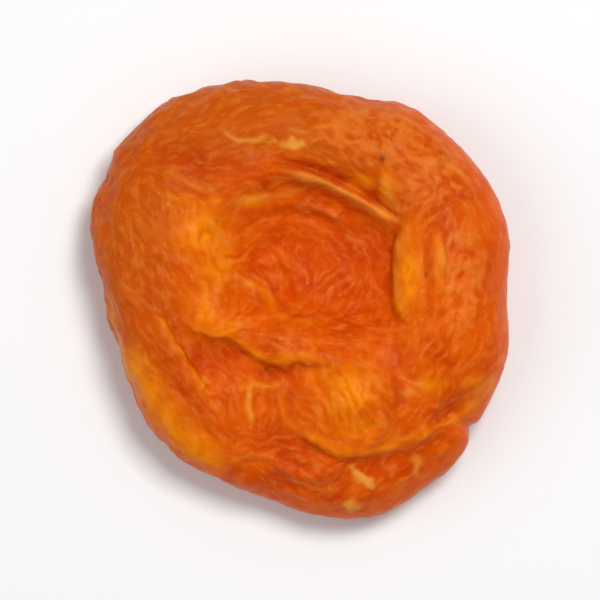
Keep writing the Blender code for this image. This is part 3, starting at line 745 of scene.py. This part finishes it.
# How uneven each painted colour is, and its seed.
GOLD_PAINT = (0.5, 201)
RED_PAINT = (0.35, 211)
PALE_PAINT = (0.6, 221)
skin_marks = {
    # Gold: partly painted highlight on lit slopes and fold crests.
    "gold": painted(GOLD_PATCHES, GOLD_LINES, *GOLD_PAINT),
    # Red: partly painted shade in hollows, creases and pockets.
    "red": painted(RED_PATCHES, RED_LINES, *RED_PAINT),
    # Pale: torn skin flakes, and painted highlight along crests and the rim's edge.
    "pale": np.maximum(painted((), PALE_LINES, *PALE_PAINT), flakes),
    "tan": near_angle(angle, *BROWNER_SIDE, STEEP) * stepped(out_share, *BROWNER_FROM),
    # Ridge: where the grain's painted highlight and painted shade fall.
    "ridge": np.clip(0.5 + ridged, 0, 1),
    "taut": taut,
    "speck": specks,
}


def point_by_point(grid):
    """A grid's values in the order of the mesh's points: one for each end, and all of the rings between."""
    between = grid[1:-1].reshape(-1, *grid.shape[2:])
    return np.concatenate([grid[0, :1], between, grid[-1, :1]])


def closed_grid(name, grid):
    """A mesh of quads between rings of points, with a fan of triangles round the point at each end."""
    rings, segments = grid.shape[:2]
    points = point_by_point(grid)
    first = np.arange(segments)
    following = (first + 1) % segments
    ring = np.arange(rings - 3)[:, None] * segments + 1
    below = ring + segments
    quads = np.stack([ring + first, below + first, below + following, ring + following], -1)
    top = np.stack([np.zeros_like(first), 1 + first, 1 + following], -1)
    last = 1 + (rings - 3) * segments
    bottom = np.stack([np.full_like(first, len(points) - 1), last + following, last + first], -1)
    mesh = bpy.data.meshes.new(name)
    mesh.from_pydata(points * MM, [], np.vstack([top, bottom]).tolist() + quads.reshape(-1, 4).tolist())
    mesh.shade_smooth()
    return mesh


fruit_mesh = closed_grid("apricot_skin", place)
for name, value in skin_marks.items():
    layer = fruit_mesh.attributes.new(name, "FLOAT", "POINT")
    layer.data.foreach_set("value", point_by_point(value).astype(np.float32))
way = grain_way(x, y)
ways = np.stack([np.cos(way), np.sin(way), np.zeros_like(way)], axis=-1)
way_layer = fruit_mesh.attributes.new("grain_way", "FLOAT_VECTOR", "POINT")
way_layer.data.foreach_set("vector", point_by_point(ways).ravel().astype(np.float32))
fruit = bpy.data.objects.new("apricot_skin", fruit_mesh)
bpy.context.scene.collection.objects.link(fruit)


def linear(red, green, blue):
    """A colour as a screen shows it, 0 to 255 each, turned into the light that it stands for.

    The curve is that of sRGB: a straight line for the darkest, and above it the power 2.4 of a shifted value.
    """
    shown = np.array([red, green, blue]) / 255
    return (*np.where(shown <= 0.04045, shown / 12.92, ((shown + 0.055) / 1.055) ** 2.4), 1)


ORANGE = linear(222, 92, 2)
EMBER = linear(202, 68, 1)
# Partly the skin's deeper tone, partly painted shade.
DEEP_RED_AND_SHADE = linear(186, 50, 0)
# Painted shade in the furrows of the grain.
FURROW_SHADE = linear(200, 62, 1)
# Partly the flesh's own gold, partly painted highlight.
GOLD_AND_HIGHLIGHT = linear(242, 138, 2)
TAN = linear(186, 84, 8)
# Torn skin, and partly painted highlight.
PALE_AND_HIGHLIGHT = linear(228, 152, 56)
# Painted highlight on the crests of the grain.
RIDGE_HIGHLIGHT = linear(232, 132, 46)
TAUT = linear(226, 88, 0)
SPECK = linear(60, 26, 14)

flesh = bpy.data.materials.new("apricot_flesh")
flesh.use_nodes = True
tree = flesh.node_tree
shader = tree.nodes["Principled BSDF"]


def node(kind, **values):
    """A node of the material, with its inputs set by name."""
    made = tree.nodes.new(kind)
    for name, value in values.items():
        made.inputs[name.replace("_", " ")].default_value = value
    return made


def mark(name):
    """One of the skin's marks, from 0 to 1, as the mesh holds it."""
    made = tree.nodes.new("ShaderNodeAttribute")
    made.attribute_name = name
    return made.outputs["Fac"]


def ranged(value, low, high, to_low, to_high):
    """The value's stretch from low to high, turned into one from to_low to to_high and held there."""
    made = node("ShaderNodeMapRange", From_Min=low, From_Max=high, To_Min=to_low, To_Max=to_high)
    tree.links.new(value, made.inputs["Value"])
    return made.outputs["Result"]


def added(first, second):
    """The sum of two values."""
    made = tree.nodes.new("ShaderNodeMath")
    tree.links.new(first, made.inputs[0])
    tree.links.new(second, made.inputs[1])
    return made.outputs[0]


def mixed(share, low, high):
    """One colour mixed into another by a share. Each colour is a value or another node's output."""
    made = tree.nodes.new("ShaderNodeMix")
    made.data_type = "RGBA"
    tree.links.new(share, made.inputs[0])
    for socket, colour in ((made.inputs[6], low), (made.inputs[7], high)):
        if isinstance(colour, tuple):
            socket.default_value = colour
        else:
            tree.links.new(colour, socket)
    return made.outputs[2]


coordinates = tree.nodes.new("ShaderNodeTexCoord").outputs["Object"]


def cloud(size, detail, roughness):
    """Blender's own noise, about 0.25 to 0.75, whose lumps are about size millimetres wide."""
    made = node("ShaderNodeTexNoise", Scale=1 / (size * MM), Detail=detail, Roughness=roughness)
    tree.links.new(coordinates, made.inputs["Vector"])
    return made.outputs["Fac"]


def vector(operation, first, second):
    """A step of vector arithmetic. The second operand is a value or another node's output."""
    made = tree.nodes.new("ShaderNodeVectorMath")
    made.operation = operation
    tree.links.new(first, made.inputs[0])
    if operation == "SCALE":
        made.inputs["Scale"].default_value = second
    else:
        tree.links.new(second, made.inputs[1])
    return made.outputs[0]


COMB_SPOTS = (-1, -0.5, 0, 0.5, 1)
THREAD_DETAIL = 1


def combed_cloud(size, reach):
    """The mean of Blender's noise at five spots in a row along the grain, reach millimetres to each side."""
    way = tree.nodes.new("ShaderNodeAttribute")
    way.attribute_name = "grain_way"
    total = None
    for share in COMB_SPOTS:
        spot = vector("ADD", coordinates, vector("SCALE", way.outputs["Vector"], share * reach * MM))
        made = node("ShaderNodeTexNoise", Scale=1 / (size * MM), Detail=THREAD_DETAIL, Roughness=0.5)
        tree.links.new(spot, made.inputs["Vector"])
        total = made.outputs["Fac"] if total is None else added(total, made.outputs["Fac"])
    return ranged(total, 0, len(COMB_SPOTS), 0, 1)


# Clouds in the skin: how wide they are, how many finer sizes each holds, and how much these count.
BLOTCHES = (3.2, 3, 0.6)
FRECKLES = (0.9, 2, 0.5)
DOTS = (0.5, 1, 0.5)
MATT_SPOTS = (1.1, 3, 0.6)
PORES = (0.3, 4, 0.65)
# The finest threads of the grain: how wide they are, and how far they are combed to each side.
THREAD_CLOUD = (0.5, 0.4)
threads = combed_cloud(*THREAD_CLOUD)
# The coats of colour over EMBER, the lowest first: what each follows, from which of its values to which, how
# much of the coat shows at the one and at the other, and its colour.
COATS = (
    (cloud(*BLOTCHES), 0.38, 0.62, 0, 1, ORANGE),
    (mark("tan"), 0, 1, 0, 0.75, TAN),
    (mark("taut"), 0, 1, 0, 0.85, TAUT),
    (mark("red"), 0, 1, 0, 0.85, DEEP_RED_AND_SHADE),
    (mark("gold"), 0, 1, 0, 0.95, GOLD_AND_HIGHLIGHT),
    # Painted shade in the grain's furrows and painted highlight on its crests, coarse and fine.
    (mark("ridge"), 0.15, 0.5, 0.42, 0, FURROW_SHADE),
    (mark("ridge"), 0.5, 0.85, 0, 0.45, RIDGE_HIGHLIGHT),
    (threads, 0.4, 0.49, 0.12, 0, FURROW_SHADE),
    (threads, 0.51, 0.6, 0, 0.2, RIDGE_HIGHLIGHT),
    (mark("pale"), 0, 1, 0, 1, PALE_AND_HIGHLIGHT),
    (cloud(*FRECKLES), 0.66, 0.74, 0, 0.3, DEEP_RED_AND_SHADE),
    # Pale dots: partly sugar specks, partly painted glints.
    (cloud(*DOTS), 0.7, 0.78, 0, 0.3, PALE_AND_HIGHLIGHT),
    (mark("speck"), 0, 1, 0, 1, SPECK),
)
colour = EMBER
for follows, low, high, at_low, at_high, coat in COATS:
    colour = mixed(ranged(follows, low, high, at_low, at_high), colour, coat)
tree.links.new(colour, shader.inputs["Base Color"])

# Light goes a little way into the flesh, red light farthest, and little of it is mirrored.
shader.inputs["Subsurface Weight"].default_value = 0.35
shader.inputs["Subsurface Radius"].default_value = (1.0, 0.3, 0.05)
shader.inputs["Subsurface Scale"].default_value = 1.0 * MM
shader.inputs["Specular IOR Level"].default_value = 0.08
shader.inputs["Specular Tint"].default_value = (1, 0.8, 0.5, 1)
tree.links.new(ranged(cloud(*MATT_SPOTS), 0.3, 0.7, 0.3, 0.46), shader.inputs["Roughness"])
# The threads stand up from the skin, with pores about a third as high between them.
THREAD_RELIEF = 0.03
bump = node("ShaderNodeBump", Strength=0.6, Distance=THREAD_RELIEF * MM)
raised = ranged(threads, 0.42, 0.58, 0, 1)
pores = ranged(cloud(*PORES), 0, 1, 0, 0.35)
tree.links.new(added(raised, pores), bump.inputs["Height"])
tree.links.new(bump.outputs["Normal"], shader.inputs["Normal"])
fruit_mesh.materials.append(flesh)

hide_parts("dried_apricot")
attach(fruit, "root")

# The floor: a plain pale sheet of matt paper, wide enough to fill the picture.
# The fruit lies loose on it, and it isn't part of the fruit.
FLOOR_HALF = 600
floor_mesh = bpy.data.meshes.new("floor")
corners = ((-1, -1), (1, -1), (1, 1), (-1, 1))
edge = FLOOR_HALF * MM
floor_mesh.from_pydata([(edge * across, edge * up, 0) for across, up in corners], [], [(0, 1, 2, 3)])
paper = bpy.data.materials.new("floor_paper")
paper.use_nodes = True
paper_shader = paper.node_tree.nodes["Principled BSDF"]
paper_shader.inputs["Base Color"].default_value = (0.9, 0.9, 0.9, 1)
paper_shader.inputs["Roughness"].default_value = 0.8
floor_mesh.materials.append(paper)
floor = bpy.data.objects.new("floor", floor_mesh)
bpy.context.scene.collection.objects.link(floor)

# The light: a soft lamp high over the upper right of the picture, a wider and weaker one over the left, and
# a pale sky. Each lamp has its name, place, width and power.
LAMPS = (
    ("key_lamp", (120, 150, 430), 150, 1.52),
    ("fill_lamp", (-300, -60, 320), 400, 0.5),
)
for name, spot, size, power in LAMPS:
    lamp = bpy.data.lights.new(name, "AREA")
    lamp.size = size * MM
    lamp.energy = power
    holder = bpy.data.objects.new(name, lamp)
    holder.location = Vector(spot) * MM
    holder.rotation_euler = (-Vector(spot)).to_track_quat("-Z", "Y").to_euler()
    holder.visible_camera = False
    bpy.context.scene.collection.objects.link(holder)
SKY_POWER = 0.32
sky = bpy.data.worlds.new("pale_sky")
sky.use_nodes = True
backdrop = sky.node_tree.nodes["Background"]
backdrop.inputs["Color"].default_value = (1, 1, 1, 1)
backdrop.inputs["Strength"].default_value = SKY_POWER
bpy.context.scene.world = sky
bpy.context.scene.view_settings.view_transform = "Standard"

# The camera: straight above the fruit and far enough away to see it nearly without perspective.
CAMERA_HEIGHT = 520
VIEW_WIDTH = 59
SENSOR_WIDTH = 36
lens = bpy.data.cameras.new("camera")
lens.sensor_width = SENSOR_WIDTH
lens.lens = SENSOR_WIDTH * CAMERA_HEIGHT / VIEW_WIDTH
camera = bpy.data.objects.new("camera", lens)
camera.location = (0, 0, CAMERA_HEIGHT * MM)
bpy.context.scene.collection.objects.link(camera)
bpy.context.scene.camera = camera
